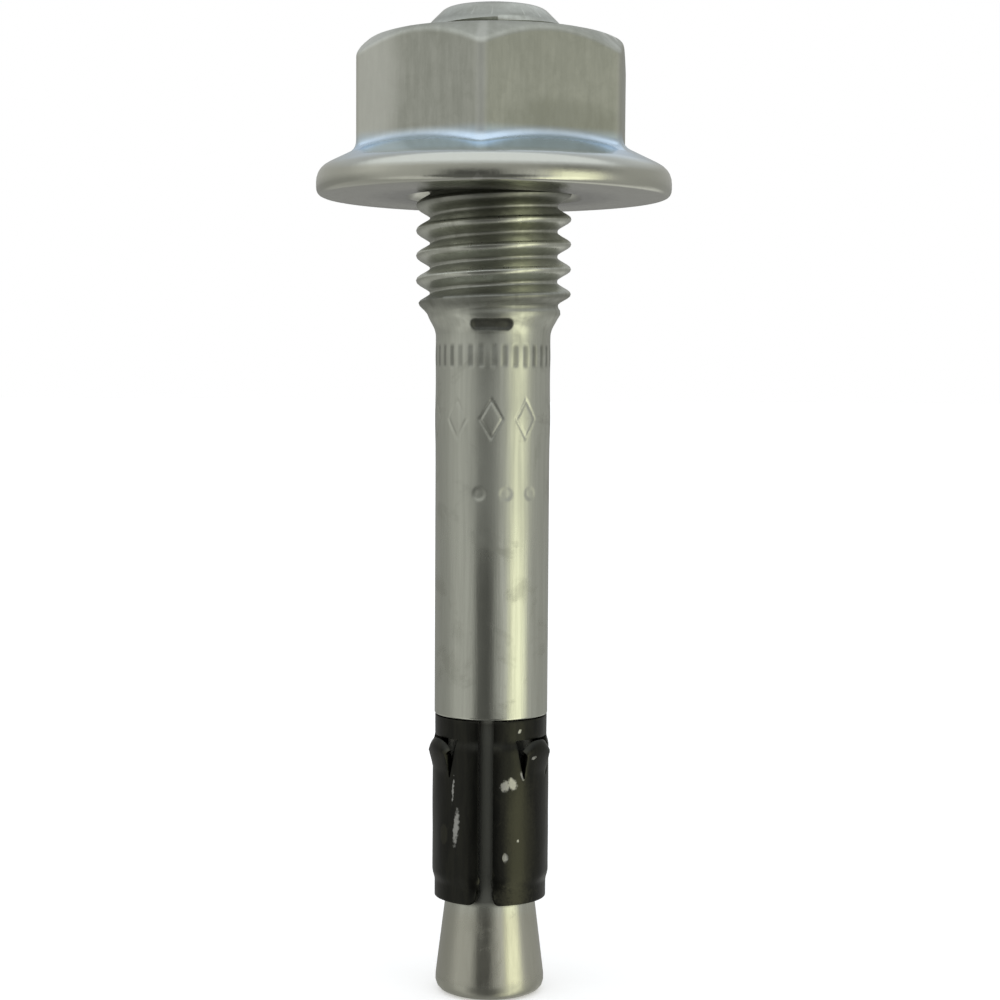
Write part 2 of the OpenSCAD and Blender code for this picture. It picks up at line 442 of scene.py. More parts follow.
def stamps(s, theta, height):
    """Depth of the ticks, the dash and the stamped marks at each point of the shank, and the shade
    painted into the ticks and the dash.
    """
    rng = np.random.default_rng(TICK_SEED)
    around = theta * s.tick_count / TURN
    tick = np.floor(around).astype(int) % s.tick_count
    uneven = rng.uniform(*TICK_DEPTHS, s.tick_count)[tick]
    aside = rng.uniform(-TICK_ASIDE, TICK_ASIDE, s.tick_count)[tick]
    across = np.abs(around - np.floor(around) - TICK_MIDDLE + aside)
    ends = ease(s.tick_low, s.tick_low + TICK_SOFT, height)
    ends = ends * ease(s.tick_top, s.tick_top - TICK_SOFT, height)
    ticks = uneven * ease(*TICK_SIDE, across) * ends

    def along(turn):
        """Distance around the shank from an angle that is counted from the dash."""
        return s.shank / 2 * turn_gap(theta, DASH_ANGLE + math.radians(turn))

    half = s.dash_width / 2
    over = np.maximum(np.abs(along(0)) - (s.dash_length / 2 - half), 0)
    edge = np.hypot(over, height - s.dash_height) - half
    depth = s.tick_depth * ticks + s.dash_depth * ease(*DASH_SIDE, edge)
    # Shade painted into the ticks and the dash
    grime = np.maximum(TICK_PAINTED_SHADE * ticks, DASH_PAINTED_SHADE * ease(*DASH_SHADE, edge))

    wide, tall = LOZENGE_HALF
    for turn in LOZENGE_TURNS:
        outline = np.abs(along(turn)) / wide + np.abs(height - LOZENGE_HEIGHT) / tall - 1
        away = np.abs(outline) * wide * tall / math.hypot(wide, tall)
        depth = depth + s.stamp_depth * ease(GROOVE_HALF, GROOVE_HALF / 4, away)
    for turn in DOT_TURNS:
        away = np.hypot(along(turn), height - DOT_HEIGHT)
        depth = depth + s.stamp_depth * ease(DOT_RADIUS, DOT_FLOOR, away)
    return depth, grime


def spaced(low, top, step):
    """Heights from low to top, about a step apart."""
    return np.linspace(low, top, max(2, round((top - low) / step) + 1))


def shank_rows(s):
    """Heights of the shank's rows, which lie close together where something is stamped."""
    stretches = (
        (s.shoulder + 0.9 * MM, s.thread_low, 0.8 * MM),
        (DOT_HEIGHT - 0.6 * MM, DOT_HEIGHT + 0.6 * MM, 0.06 * MM),
        (LOZENGE_HEIGHT - 1.2 * MM, LOZENGE_HEIGHT + 1.2 * MM, 0.08 * MM),
        (s.tick_low - 0.1 * MM, s.tick_top + 0.1 * MM, 0.1 * MM),
        (s.runout_low - 0.2 * MM, s.thread_low, 0.05 * MM),
    )
    rows = np.concatenate([spaced(*stretch) for stretch in stretches])
    return np.unique(rows.round(8))[:, None]


def swelling(height, middle, reach):
    """Bulge around a height, which fades out over the reach."""
    return BULGE * np.exp(-(((height - middle) / reach) ** 2))


def build_bolt(s):
    """Bolt: tip cone, neck, stamped shank, run-out and rolled thread."""
    theta = TURN * np.arange(BOLT_COLUMNS) / BOLT_COLUMNS
    slope = math.tan(s.cone_slope)
    neck_low = (s.cone - s.neck) / 2 / slope
    foot = turned(
        [
            (FAN_RADIUS, 0),
            (s.cone / 2, 0),
            *((s.cone / 2 - z * slope, z) for z in CONE_ROWS),
            (s.neck / 2, neck_low),
            (s.neck / 2, s.shoulder - BELOW_SHOULDER),
            (s.neck / 2, s.shoulder),
            (s.shank / 2, s.shoulder),
            (s.shank / 2, s.shoulder + ABOVE_SHOULDER),
        ],
        [0, s.tip_round, 0, 0, NECK_ROUND, 0, 0, SHOULDER_ROUND, 0],
        steps=5,
    )
    shank = shank_rows(s)
    swell = swelling(shank, LOZENGE_HEIGHT, LOZENGE_BULGE)
    swell += TICK_BULGE_SHARE * swelling(shank, (s.tick_low + s.tick_top) / 2, TICK_BULGE)
    depth, stamp_shade = stamps(s, theta[None, :], shank)
    radius = bolt_blank(s, shank) + swell - depth

    shell = Shell()
    low = np.concatenate((polar(theta, foot[:, :1], foot[:, 1:]), polar(theta, radius, shank)))
    # Shade painted on the neck inside the clip, above the clip's lower edge and below the shoulder
    neck_shade = NECK_PAINTED_SHADE * ease(CLIP_LOW - CLIP_EDGE_FADE, CLIP_LOW, foot[:, 1:])
    neck_shade = np.where(foot[:, 1:] > s.shoulder - WELD, 0.0, neck_shade)
    grime = np.concatenate((np.repeat(neck_shade, BOLT_COLUMNS, axis=1), stamp_shade))
    shell.patch(low, wrapped_quads(len(low), BOLT_COLUMNS), grime)
    shell.cap(low[0], (0, 0, 0))

    # The thread fades into the blank below and runs out on the chamfer of the end above
    end_half = s.end_face / 2
    thread_top = s.top - (s.root / 2 - end_half)
    profile = thread_profile(s.pitch, s.crest / 2, s.root / 2, CREST_FLAT, THREAD_REACH)
    height, radius = thread_rows(
        profile, s.pitch, theta, CREST_ANGLE, CREST_HEIGHT, s.thread_low, thread_top
    )
    blank = bolt_blank(s, height)
    full = ease(s.thread_low, s.thread_full, height)
    radius = blank + full * (radius - blank)
    radius = np.minimum(radius, end_half + s.top - height)
    # Shade painted into the thread's roots, on the run-out and on the thread just below and inside
    # the nut
    in_roots = full * ease(s.crest / 2 - FLANK_FADE, s.root / 2, radius)
    runout = ease(s.thread_low, s.thread_full - RUNOUT_LOW_FADE, height)
    runout = runout * ease(s.thread_full + RUNOUT_TOP_FADE, s.thread_full, height)
    under_nut = ease(NUT_LOW - BELOW_NUT[0], NUT_LOW - BELOW_NUT[1], height)
    under_nut = under_nut * ease(NUT_LOW + INSIDE_NUT[0], NUT_LOW + INSIDE_NUT[1], height)
    grime = np.maximum(RUNOUT_PAINTED_SHADE * runout, UNDER_NUT_PAINTED_SHADE * under_nut)
    grime = np.maximum(THREAD_PAINTED_SHADE * in_roots, grime)
    grid = polar(theta, radius, height)
    shell.patch(grid, wrapped_quads(len(grid), BOLT_COLUMNS, climb=len(profile)), grime)

    end = turned(
        [(s.root / 2, thread_top), (end_half, s.top), (FAN_RADIUS, s.top)],
        [0, s.end_round, 0],
        steps=6,
    )
    grid = polar(theta, end[:, :1], end[:, 1:])
    shell.patch(grid, wrapped_quads(len(grid), BOLT_COLUMNS))
    shell.cap(grid[-1], (0, 0, s.top))
    return shell.piece("bolt_plated", SHARP_BOLT)


# Expansion clip

# Segments of the sheet: slit edge, plain, gap, barb, gap, back; then the same the other way
CLIP_COLUMNS = (7, 7, 1, 12, 1, 20)
GAP_PARTS = (2, 4)
BARB_PART = 3
# Rows between the clip's own heights
CLIP_ROWS = (6, 5, 28, 14, 1, 7)
LOW_BAND = 0.8 * MM
BAND_SLOPE = 0.6 * MM
# Rounding of the two lower corners at the slit, right and left
CORNER_RIGHT = 0.32 * MM
CORNER_LEFT = 0.5 * MM
CORNER_FADE = 2.4 * MM
# Depth of the dents, how closely they follow each other around and along the clip, and how far
# from its lower end they are full
DENT = 0.02 * MM
DENTS_AROUND = 3.0
DENTS_ALONG = 0.45
DENT_FADE = 2.5 * MM
# Room that the curled sheet leaves around the cone
CONE_ROOM = 0.05 * MM
# Rounding of the sheared edges, and the least angle of an edge that gets it
EDGE_ROUND = 0.06 * MM
EDGE_ANGLE = 55
SHARP_CLIP = 50
NEVER_SHARP = 180
# A barb's rise along its length: it ends in a lip that leans back
BARB_ALONG = (0.0, 0.12, 0.62, 0.82, 0.93, 1.0)
BARB_SHAPE = (0.0, 0.05, 0.82, 1.0, 0.95, 0.8)
# The corners of its free end lie lower
BARB_DROP = 0.5 * MM


def clip_radius(s, height):
    """Radius of the sheet's middle before it is dented, curled or cut."""
    swell_low, swell_top = s.low + LOW_BAND, s.window_top
    rise = ease(swell_low, swell_low + BAND_SLOPE, height)
    rise = rise * ease(swell_top, swell_top - BAND_SLOPE, height)
    return s.band + (s.middle - s.band) * rise


def clip_grid(s):
    """Angles from the slit and heights of the sheet's grid, and which faces it keeps."""
    breaks = (s.low, s.low + LOW_BAND, s.low + LOW_BAND + BAND_SLOPE, s.barb_low, s.barb_top,
              s.window_top, s.top)
    heights = np.concatenate(
        [np.linspace(a, b, n, endpoint=False) for a, b, n in zip(breaks, breaks[1:], CLIP_ROWS)]
        + [[s.top]]
    )
    sheet_r = clip_radius(s, heights)
    slit = np.interp(heights, (s.low, s.top), (s.slit_low / 2, s.slit_top / 2)) / sheet_r
    window = np.interp(
        heights, (s.barb_low, s.window_top), (s.window_low_half, s.window_top_half)
    )
    barb = s.barb_span / 2
    stops = np.stack(
        (
            slit,
            slit + s.curl_reach / s.middle,
            s.barb_turn - window,
            np.full_like(slit, s.barb_turn - barb),
            np.full_like(slit, s.barb_turn + barb),
            s.barb_turn + window,
            np.full_like(slit, math.pi),
        ),
        axis=1,
    )
    half, kind = [], []
    for i, count in enumerate(CLIP_COLUMNS):
        part = np.linspace(0, 1, count, endpoint=False)
        half.append(stops[:, i : i + 1] * (1 - part) + stops[:, i + 1 : i + 2] * part)
        kind += [i] * count
    half = np.concatenate(half, axis=1)
    around = np.concatenate((half, stops[:, -1:], TURN - half[:, ::-1]), axis=1)
    kind = np.array(kind + kind[::-1])

    below, above = heights[:-1], heights[1:]
    in_window = (below >= s.barb_low - WELD) & (above <= s.window_top + WELD)
    past_barb = in_window & (below >= s.barb_top - WELD)
    gap, barb_part = np.isin(kind, GAP_PARTS), kind == BARB_PART
    cut = (in_window[:, None] & gap[None, :]) | (past_barb[:, None] & barb_part[None, :])
    return around, heights, ~cut


def barb_columns():
    """First and last column of each of the two barbs."""
    start = sum(CLIP_COLUMNS[:BARB_PART])
    end = start + CLIP_COLUMNS[BARB_PART]
    last = 2 * sum(CLIP_COLUMNS)
    return (start, end), (last - end, last - start)


def room_for_cone(s, bolt, height):
    """How far the sheet may curl inwards before it meets the cone that is drawn up by one turn."""
    cone = bolt.cone / 2 - (height - bolt.pitch) * math.tan(bolt.cone_slope)
    inner = clip_radius(s, height) - s.sheet / 2
    return np.maximum(inner - np.maximum(cone, bolt.neck / 2) - CONE_ROOM, 0)


def build_clip(s, bolt):
    """Clip: a rolled sheet with a slit, two windows and two barbs, given its thickness."""
    around, heights, kept = clip_grid(s)
    rows, columns = around.shape
    height = np.repeat(heights[:, None], columns, axis=1)
    radius = clip_radius(s, height)

    from_right = (around - around[:, :1]) * radius
    from_left = (around[:, -1:] - around) * radius
    from_slit = np.minimum(from_right, from_left)
    curl = np.minimum(s.curl, room_for_cone(s, bolt, height))
    radius = radius - curl * np.clip(1 - from_slit / s.curl_reach, 0, 1) ** 2

    for away, corner in ((from_right, CORNER_RIGHT), (from_left, CORNER_LEFT)):
        short = np.clip(1 - away / corner, 0, 1)
        lift = corner * (1 - np.sqrt(1 - short**2))
        height = height + lift * np.clip(1 - (heights[:, None] - s.low) / CORNER_FADE, 0, 1)

    dent = [
        [
            noise.noise((DENTS_AROUND * math.cos(a), DENTS_AROUND * math.sin(a), DENTS_ALONG * z))
            for a in line
        ]
        for line, z in zip(around, heights / MM)
    ]
    radius = radius + DENT * np.array(dent) * ease(s.low, s.low + DENT_FADE, height)

    in_barb = (heights > s.barb_low + WELD) & (heights <= s.barb_top + WELD)
    along = (heights[in_barb] - s.barb_low) / (s.barb_top - s.barb_low)
    for start, end in barb_columns():
        part = np.ix_(in_barb, range(start, end + 1))
        radius[part] += s.barb_rise * np.interp(along, BARB_ALONG, BARB_SHAPE)[:, None]
        side = np.abs(np.linspace(-1, 1, end - start + 1))
        height[part] -= BARB_DROP * side[None, :] ** 3 * along[:, None] ** 3

    faces = [
        (i * columns + k, i * columns + k + 1, (i + 1) * columns + k + 1, (i + 1) * columns + k)
        for i in range(rows - 1)
        for k in range(columns - 1)
        if kept[i, k]
    ]
    shell = Shell()
    shell.patch(polar(FRONT + around, radius, height), faces)
    item = shell.piece("clip_black", NEVER_SHARP)
    thick = item.modifiers.new("sheet", "SOLIDIFY")
    thick.thickness = s.sheet
    thick.offset = 0.0
    thick.use_even_offset = True
    soft = item.modifiers.new("sheared_edges", "BEVEL")
    soft.width = EDGE_ROUND
    soft.segments = 2
    soft.limit_method = "ANGLE"
    soft.angle_limit = math.radians(EDGE_ANGLE)
    settle(item, SHARP_CLIP)
    return item


# Flange nut

SIDES = 6
# Half the angle that one side of the hexagon covers
HALF_SIDE = math.radians(30)
SIDE_COLUMNS = 28
SHARP_NUT = 40
# Rounding of the countersinks' edges, doubled on the chamfer
NUT_ROUND = 0.12 * MM
# The inner thread's rounding, and the least width of its roots
INNER_REACH = 0.7 * THREAD_REACH
LEAST_FLAT = 0.02 * MM


def hexagon_radius(s, off_corner):
    """Radius of the hexagon at an angle from its nearest corner."""
    off = np.abs(off_corner)
    half, soft = s.flats / 2, s.corner
    centre = (half - soft) / math.cos(HALF_SIDE)
    arc_end = math.atan2(soft / 2, centre + soft * math.cos(HALF_SIDE))
    flat = half / np.cos(HALF_SIDE - off)
    inside = np.maximum(soft**2 - (centre * np.sin(off)) ** 2, 0)
    return np.where(off < arc_end, centre * np.cos(off) + np.sqrt(inside), flat)


def build_nut(s, bolt):
    """Nut: flange, hexagon, chamfer, countersinks and the inner thread."""
    even = np.linspace(-1, 1, SIDE_COLUMNS, endpoint=False)
    off_flat = HALF_SIDE * np.sin(even * math.pi / 2)
    flats = FRONT + HALF_SIDE + TURN / SIDES * np.arange(SIDES)
    theta = (flats[:, None] + off_flat[None, :]).ravel()
    hexagon = hexagon_radius(s, np.tile(HALF_SIDE - np.abs(off_flat), SIDES))
    columns = len(theta)

    def level(value):
        """The same value in every column."""
        return np.full(columns, value)

    root, mouth, crown, flange = (d / 2 for d in (s.thread_root, s.mouth, s.crown, s.flange))
    sink = mouth - root
    rim_top = s.low + s.rim
    corners = [
        (level(root), level(s.low + sink)),
        (level(mouth), level(s.low)),
        (level(flange), level(s.low)),
        (level(flange), level(rim_top)),
        (hexagon, rim_top + (flange - hexagon) * math.tan(s.slope)),
        (hexagon, s.top - (hexagon - crown) * math.tan(s.chamfer)),
        (level(crown), level(s.top)),
        (level(mouth), level(s.top)),
        (level(root), level(s.top - sink)),
    ]
    path = np.stack([np.stack(corner, axis=-1) for corner in corners], axis=1)
    reaches = [
        0, NUT_ROUND, s.rim_low, s.rim_top, s.fillet, 2 * NUT_ROUND, s.crown_round, NUT_ROUND, 0
    ]
    path = turned(path, reaches, steps=5)
    grid = polar(theta[None, :], path[..., 0].T, path[..., 1].T)
    shell = Shell()
    shell.patch(grid, wrapped_quads(len(grid), columns))

    # The inner thread lies around the bolt's own, with some play
    groove = CREST_FLAT - (s.thread_root - bolt.crest) * math.tan(FLANK) + 2 * s.play
    profile = thread_profile(
        bolt.pitch, root, s.thread_crest / 2, max(groove, LEAST_FLAT), INNER_REACH
    )
    height, radius = thread_rows(
        profile, bolt.pitch, theta, CREST_ANGLE, CREST_HEIGHT, s.low + sink, s.top - sink
    )
    radius = np.maximum(radius, mouth - (height - s.low))
    radius = np.maximum(radius, mouth - (s.top - height))
    grid = polar(theta, radius, height)
    shell.patch(grid, wrapped_quads(len(grid), columns, climb=len(profile)))
    return shell.piece("nut_flanged", SHARP_NUT)


# Materials

class Board:
    """Places and links shader nodes in one tree."""

    def __init__(self, tree):
        self.tree = tree
        tree.nodes.clear()

    def node(self, kind, sockets=None, **settings):
        """A node with its settings and its sockets, each given a value or another socket."""
        made = self.tree.nodes.new("ShaderNode" + kind)
        for key, value in settings.items():
            setattr(made, key, value)
        for key, value in (sockets or {}).items():
            self.feed(made.inputs[key], value)
        return made

    def feed(self, socket, value):
        """Links a socket, or sets its own value."""
        if isinstance(value, bpy.types.NodeSocket):
            self.tree.links.new(value, socket)
        else:
            socket.default_value = value

    def math(self, operation, first, second=0.0, third=0.0, clamp=False):
        """Result of a math node."""
        sockets = {0: first, 1: second, 2: third}
        return self.node("Math", sockets, operation=operation, use_clamp=clamp).outputs[0]

    def span(self, value, low, high, to_low=0.0, to_high=1.0):
        """Value carried smoothly from one range to another."""
        sockets = {
            "Value": value, "From Min": low, "From Max": high, "To Min": to_low, "To Max": to_high
        }
        return self.node("MapRange", sockets, interpolation_type="SMOOTHSTEP").outputs[0]

    def blend(self, factor, first, second):
        """Mix of two colours."""
        made = self.node("Mix", {0: factor, 6: first, 7: second}, data_type="RGBA")
        return made.outputs[2]

    def both(self, first, second):
        """Product of two masks."""
        return self.math("MULTIPLY", first, second)

    def total(self, start, additions):
        """Number with masks added to it, each given with its share."""
        for mask, part in additions:
            start = self.math("MULTIPLY_ADD", mask, part, start)
        return start

    def layers(self, ground, coats):
        """Colour under coats, each given as its mask, its share and its colour."""
        below = solid(ground)
        for mask, part, coat in coats:
            below = self.blend(self.both(mask, part), below, solid(coat))
        return below

    def noise(self, place, scale, **sockets):
        """Value of a noise at a place."""
        sockets = {"Vector": place, "Scale": scale, **sockets}
        return self.node("TexNoise", sockets).outputs[0]

    def millimetres(self):
        """Place on the piece, in millimetres."""
        place = self.node("TexCoord").outputs["Object"]
        return self.node("VectorMath", {0: place, "Scale": 1 / MM}, operation="SCALE").outputs[0]

    def turn(self, x, y):
        """Angle around the axis, from the front to the right."""
        return self.math("ARCTAN2", x, self.both(y, -1.0))


def solid(rgb):
    """Colour with full opacity."""
    return (*rgb, 1.0)


def new_group(label, inputs, output):
    """Empty shader group with float sockets, and the values that it is given."""
    tree = bpy.data.node_groups.new(label, "ShaderNodeTree")
    board = Board(tree)
    for key, default in inputs.items():
        socket = tree.interface.new_socket(key, in_out="INPUT", socket_type="NodeSocketFloat")
        socket.default_value = default
    tree.interface.new_socket(output, in_out="OUTPUT", socket_type="NodeSocketFloat")
    return board, tree.nodes.new("NodeGroupInput").outputs


def end_group(board, value):
    """Finished tree of a group that puts out the value."""
    end = board.tree.nodes.new("NodeGroupOutput")
    board.feed(end.inputs[0], value)
    return board.tree


def drawn_streaks(label):
    """Streaks along the axis, as drawing and rolling leave them."""
    board, given = new_group(label, {"Fineness": 3.0, "Stretch": 20.0}, "Mask")
    x, y, z = board.node("SeparateXYZ", {0: board.millimetres()}).outputs
    along = board.math("DIVIDE", z, given["Stretch"])
    place = board.node("CombineXYZ", {0: x, 1: y, 2: along}).outputs[0]
    grain = board.noise(place, given["Fineness"], Detail=5.0, Roughness=0.6)
    return end_group(board, board.span(grain, 0.3, 0.7))


# Noise from which on there are stains if the cover is 0, what a cover of 1 takes off that, and
# the width of the stains' edge
STAIN_FROM = 0.72
STAIN_COVER = 0.4
STAIN_EDGE = 0.18


def handling_stains(label):
    """Uneven blotches, as handling and storage leave them."""
    board, given = new_group(label, {"Fineness": 0.6, "Cover": 0.5}, "Mask")
    place = board.millimetres()
    cloud = board.noise(place, given["Fineness"], Detail=6.0, Roughness=0.62, Distortion=0.6)
    start = board.math("SUBTRACT", STAIN_FROM, board.both(given["Cover"], STAIN_COVER))
    end = board.math("ADD", start, STAIN_EDGE)
    return end_group(board, board.span(cloud, start, end))


# The broad waves of the grain are so much longer and higher than the fine ones
WAVE_LENGTH = 9.0
WAVE_HEIGHT = 1.6


def surface_grain(label):
    """Fine unevenness of a plated or blackened surface."""
    board, given = new_group(label, {"Fineness": 14.0}, "Height")
    place = board.millimetres()
    fine = board.noise(place, given["Fineness"], Detail=4.0)
    wave = board.noise(place, board.math("DIVIDE", given["Fineness"], WAVE_LENGTH), Detail=2.0)
    return end_group(board, board.total(fine, ((wave, WAVE_HEIGHT),)))


# How finely and how far a patch's outline is torn, and where it fades, 1 being the outline
RAG_FINENESS = 6.0
RAG_REACH = 4.0
PATCH_FADE = (1.3, 0.2)


def bare_patch(label):
    """Place on a round part: its angle from the front, height, half sizes, lean and raggedness."""
    inputs = {"Turn": 0.0, "Height": 10.0, "Radius": 3.0, "Half width": 0.2, "Half height": 0.4,
              "Lean": 0.0, "Ragged": 0.5}
    board, given = new_group(label, inputs, "Mask")
    place = board.millimetres()
    x, y, z = board.node("SeparateXYZ", {0: place}).outputs
    rise = board.math("SUBTRACT", z, given["Height"])
    across = board.math("SUBTRACT", board.turn(x, y), given["Turn"])
    across = board.both(across, given["Radius"])
    across = board.math("SUBTRACT", across, board.both(rise, given["Lean"]))
    wide = board.math("POWER", board.math("DIVIDE", across, given["Half width"]), 2.0)
    tall = board.math("POWER", board.math("DIVIDE", rise, given["Half height"]), 2.0)
    rag = board.math("SUBTRACT", board.noise(place, RAG_FINENESS, Detail=2.5), 0.5)
    rag = board.both(rag, given["Ragged"])
    size = board.total(board.math("ADD", wide, tall), ((rag, RAG_REACH),))
    return end_group(board, board.span(size, *PATCH_FADE))


def place_group(board, make, **values):
    """Output of a shared group, which is made at its first use, with its own values."""
    label = make.__name__.replace("_", " ").capitalize()
    made = board.tree.nodes.new("ShaderNodeGroup")
    made.node_tree = bpy.data.node_groups.get(label) or make(label)
    for key, value in values.items():
        board.feed(made.inputs[key.replace("_", " ")], value)
    return made.outputs[0]


def patches(board, places, radius):
    """Mask of all the places on a list."""
    mask = 0.0
    for turn, height, wide, tall, lean, ragged in places:
        patch = place_group(
            board, bare_patch, Turn=math.radians(turn), Height=height, Radius=radius / MM,
            Half_width=wide, Half_height=tall, Lean=lean, Ragged=ragged,
        )
        mask = board.math("MAXIMUM", mask, patch)
    return mask


def new_material(name):
    """Material with an empty board."""
    material = bpy.data.materials.new(name)
    material.use_nodes = True
    return material, Board(material.node_tree)


def finish_metal(board, base, roughness, height, depth, strength):
    """Puts the maps of a metal on its shader."""
    bump = board.node("Bump", {"Strength": strength, "Distance": depth, "Height": height})
    sockets = {
        "Base Color": base, "Roughness": roughness, "Metallic": 1.0, "Normal": bump.outputs[0]
    }
    shader = board.node("BsdfPrincipled", sockets)
    board.node("OutputMaterial", {"Surface": shader.outputs[0]})


# Depth of the zinc's grain, and how strongly it shows
ZINC_GRAIN = 0.006 * MM
ZINC_BUMP = 0.35
# In millimetres: how far below the clip the cone's wear is full, the heights between which the
# tip turns dull, and how far below the dots the shank begins to be less smooth
CONE_FADE = 1.0
TIP_FADE = (1.1, 0.3)
STAMP_FADE = 5.0


def bolt_metal(c, s):
    """Bright zinc with streaks along the shank, stains, a worn cone, and shade painted into the
    grooves, on the neck and under the nut.
    """
    material, board = new_material("bolt_zinc")
    z = board.node("SeparateXYZ", {0: board.millimetres()}).outputs[2]
    streaks = place_group(board, drawn_streaks, Fineness=4.0, Stretch=25.0)
    stains = place_group(board, handling_stains, Fineness=0.55, Cover=0.5)
    grain = place_group(board, surface_grain, Fineness=12.0)
    in_thread = board.span(z, s.thread_low / MM, s.thread_full / MM)
    on_cone = board.span(z, CLIP_LOW / MM, CLIP_LOW / MM - CONE_FADE)
    on_tip = board.span(z, *TIP_FADE)
    stamped = board.span(z, DOT_HEIGHT / MM - STAMP_FADE, DOT_HEIGHT / MM)
    # Shade painted into the grooves, on the neck and on the thread under the nut, read from the
    # mesh's attribute
    shade_mask = board.node("Attribute", attribute_name="grime").outputs["Fac"]

    coats = (
        (stains, 0.38, c.zinc_dull),
        (streaks, 0.25, c.zinc_dull),
        (in_thread, 0.1, c.zinc_dull),
        (on_cone, 0.7, c.zinc_worn),
        (on_tip, 0.5, c.zinc_dull),
        (shade_mask, 0.92, c.grime),
    )
    rougher = (
        (streaks, 0.08),
        (on_tip, 0.2),
        (stains, 0.1),
        (stamped, 0.13),
        (in_thread, -0.03),
        (shade_mask, 0.35),
    )
    base = board.layers(c.zinc, coats)
    roughness = board.total(0.16, rougher)
    height = board.total(grain, ((streaks, 0.7),))
    strength = board.total(ZINC_BUMP, ((in_thread, -0.3),))
    finish_metal(board, base, roughness, height, ZINC_GRAIN, strength)
    return material


# A place on the nut's left flat that is painted lighter, and one on the right flat where the zinc
# turned
# dull: angle from the front, height, half width, half height, lean, raggedness
NUT_LIGHT = ((-60, 45.6, 2.6, 5.0, 0.0, 0.0),)
NUT_DULL = ((36, 43.7, 3.2, 1.3, 0.0, 0.1),)
# Heights above the nut's underside, in millimetres, between which each part of it comes in
NUT_FLATS = (1.9, 2.8)
NUT_BLUE_LOW = (1.2, 1.8)
NUT_BLUE_TOP = (3.0, 2.2)
NUT_BENEATH = (0.3, 0.05)
# Distances from the axis, in millimetres, between which the shade painted around the hole comes in
HOLE_SHADE = (7.0, 4.6)
# The hexagon turns bright between these angles from a corner, and by this share: worn zinc with a
# painted highlight
CORNER_WEAR_AND_HIGHLIGHT = (math.radians(3.2), math.radians(0.8))
CORNER_HIGHLIGHT_SHARE = 0.45
# How pointed an edge is where its wear begins, and where it is full; on the nut the brightening is
# also a painted highlight
NUT_POINTED = (0.52, 0.58)
CLIP_POINTED = (0.53, 0.62)


def nut_metal(c, s):
    """Dull zinc with streaks up the flats, mottling, a lighter left flat, edges worn bright with
    highlights painted on the hexagon's corners, shade painted around the hole, and a bluish flange
    that is partly a painted reflection.
    """
    material, board = new_material("nut_zinc")
    x, y, z = board.node("SeparateXYZ", {0: board.millimetres()}).outputs
    streaks = place_group(board, drawn_streaks, Fineness=2.4, Stretch=7.0)
    stains = place_group(board, handling_stains, Fineness=1.5, Cover=0.6)
    grain = place_group(board, surface_grain, Fineness=9.0)
    clouds = place_group(board, handling_stains, Fineness=0.5, Cover=0.75)
    light = patches(board, NUT_LIGHT, s.flats / 2)
    dull = patches(board, NUT_DULL, s.flats / 2)

    def come_in(heights):
        """Mask that comes in between two heights above the underside."""
        return board.span(z, *(s.low / MM + height for height in heights))

    on_flats = come_in(NUT_FLATS)
    # Bluish zinc on the flange, partly a painted reflection of bluish light from above
    blue = board.both(come_in(NUT_BLUE_LOW), come_in(NUT_BLUE_TOP))
    pointed = board.span(board.node("NewGeometry").outputs["Pointiness"], *NUT_POINTED)
    off_corner = board.math("PINGPONG", board.turn(x, y), HALF_SIDE)
    # Edges worn bright, with a highlight painted on the hexagon's corners
    corner = board.span(off_corner, *CORNER_WEAR_AND_HIGHLIGHT, to_high=CORNER_HIGHLIGHT_SHARE)
    edges = board.math("MAXIMUM", pointed, board.both(corner, on_flats))
    across = board.math("ADD", board.math("POWER", x, 2.0), board.math("POWER", y, 2.0))
    across = board.math("SQRT", across)
    # Shade painted on the underside around the hole
    shade_round_hole = board.both(board.span(across, *HOLE_SHADE), come_in(NUT_BENEATH))
    cloudy = board.math("MULTIPLY_ADD", clouds, 0.22, board.both(dull, 0.6), clamp=True)

    coats = (
        (board.both(stains, on_flats), 0.22, c.nut_dull),
        (on_flats, 0.35, c.nut_dull),
        (board.both(streaks, on_flats), 0.4, c.nut_dull),
        (cloudy, on_flats, c.nut_dull),
        (board.both(light, on_flats), 0.6, c.nut_bright_and_highlight),
        (blue, 0.85, c.nut_blue_and_reflection),
        (edges, 0.7, c.nut_bright_and_highlight),
        (shade_round_hole, 0.6, c.grime),
    )
    base = board.layers(c.nut, coats)
    roughness = board.total(0.16, ((on_flats, 0.3), (streaks, 0.06)))
    height = board.total(grain, ((streaks, 1.2),))
    finish_metal(board, base, roughness, height, ZINC_GRAIN, ZINC_BUMP)
    return material


# Scratches on the clip, and in the last row a painted highlight on a barb's corner: angle from the
# slit, height, half width, half height, lean, raggedness
CLIP_SCRATCHES_AND_HIGHLIGHT = (
    (-30.6, 8.9, 0.17, 0.9, 0.1, 0.6),
    (-34.4, 10.8, 0.06, 0.7, 0.1, 1.5),
    (19.5, 11.15, 0.26, 0.3, 0.2, 0.5),
    (26.5, 11.25, 0.24, 0.34, -0.2, 0.5),
    (37.3, 11.6, 0.11, 0.24, -0.3, 0.6),
    (20.0, 7.5, 0.14, 0.24, 0.0, 0.4),
    (33, 8.3, 0.08, 0.10, 0.0, 1.0),
    (35.6, 13.85, 0.10, 0.12, 0.3, 0.9),
    # Painted highlight on the corner of the right barb
    (48, 12.5, 0.16, 0.09, 0.3, 0.9),
)
# A place where the black is worn thin, and a painted olive reflection up the right leaf, listed in
# the same way
CLIP_WORN_AND_REFLECTION = (
    (29, 5.45, 1.3, 0.55, 0.0, 1.2),
    # Painted olive reflection up the right leaf
    (36, 8.2, 0.9, 3.8, 0.0, 0.25),
)
